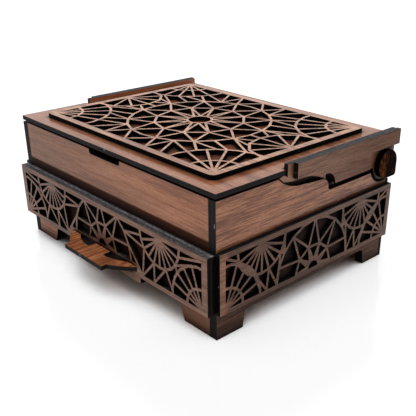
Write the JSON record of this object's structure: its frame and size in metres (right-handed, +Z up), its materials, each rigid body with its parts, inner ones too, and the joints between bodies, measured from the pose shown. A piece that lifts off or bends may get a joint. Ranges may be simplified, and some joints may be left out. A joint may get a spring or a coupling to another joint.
{
  "type": "jewelry box with drawer",
  "caption": "Low rectangular sheet-wood box on cut-out feet, with a lid on two side hinge arms, fretwork panels, and a drawer with a winged handle below a divided tray.",
  "frame": {"origin": "centre of the overall box, on the surface that the feet stand on", "axes": "+X to the box's right as seen from the drawer front, +Y from the drawer front to the back, +Z up"},
  "size_m": [0.2188, 0.1864, 0.0943],
  "materials": {
    "board": "satin brown veneer, charred cut edges",
    "fretwork": "satin brown veneer, charred cut edges",
    "hinge_disc": "satin brown veneer, dark cut edge"
  },
  "bodies": {
    "case": {"back_wall": "board", "bay_floor": "board", "compartment_floor": "board", "front_apron": "board", "front_wall": "board", "left_cross_divider": "board", "left_hinge_knob": "hinge_disc", "left_hinge_pin": "hinge_disc", "left_side_fretwork": "fretwork", "left_side_inner": "board", "left_side_outer": "board", "long_divider": "board", "right_cross_divider": "board", "right_hinge_knob": "hinge_disc", "right_hinge_pin": "hinge_disc", "right_side_fretwork": "fretwork", "right_side_inner": "board", "right_side_outer": "board"},
    "lid": {"lid_panel": "board", "lid_fretwork": "fretwork", "right_arm_inner": "board", "right_arm_outer": "board", "left_arm_inner": "board", "left_arm_outer": "board"},
    "drawer": {"drawer_back": "board", "drawer_bottom": "board", "drawer_front_board": "board", "drawer_front_fretwork": "fretwork", "drawer_handle": "board", "drawer_inner_front": "board", "drawer_left_side": "board", "drawer_right_side": "board"}
  },
  "joints": [
    {"name": "lid_hinge", "type": "hinge", "parent": "case", "child": "lid", "pos_m": [0, 0.0805, 0.0725], "axis": [-1, 0, 0], "range_deg": [0, 100]},
    {"name": "drawer_slide", "type": "slide", "parent": "case", "child": "drawer", "axis": [0, -1, 0], "range_m": [0, 0.115]}
  ]
}
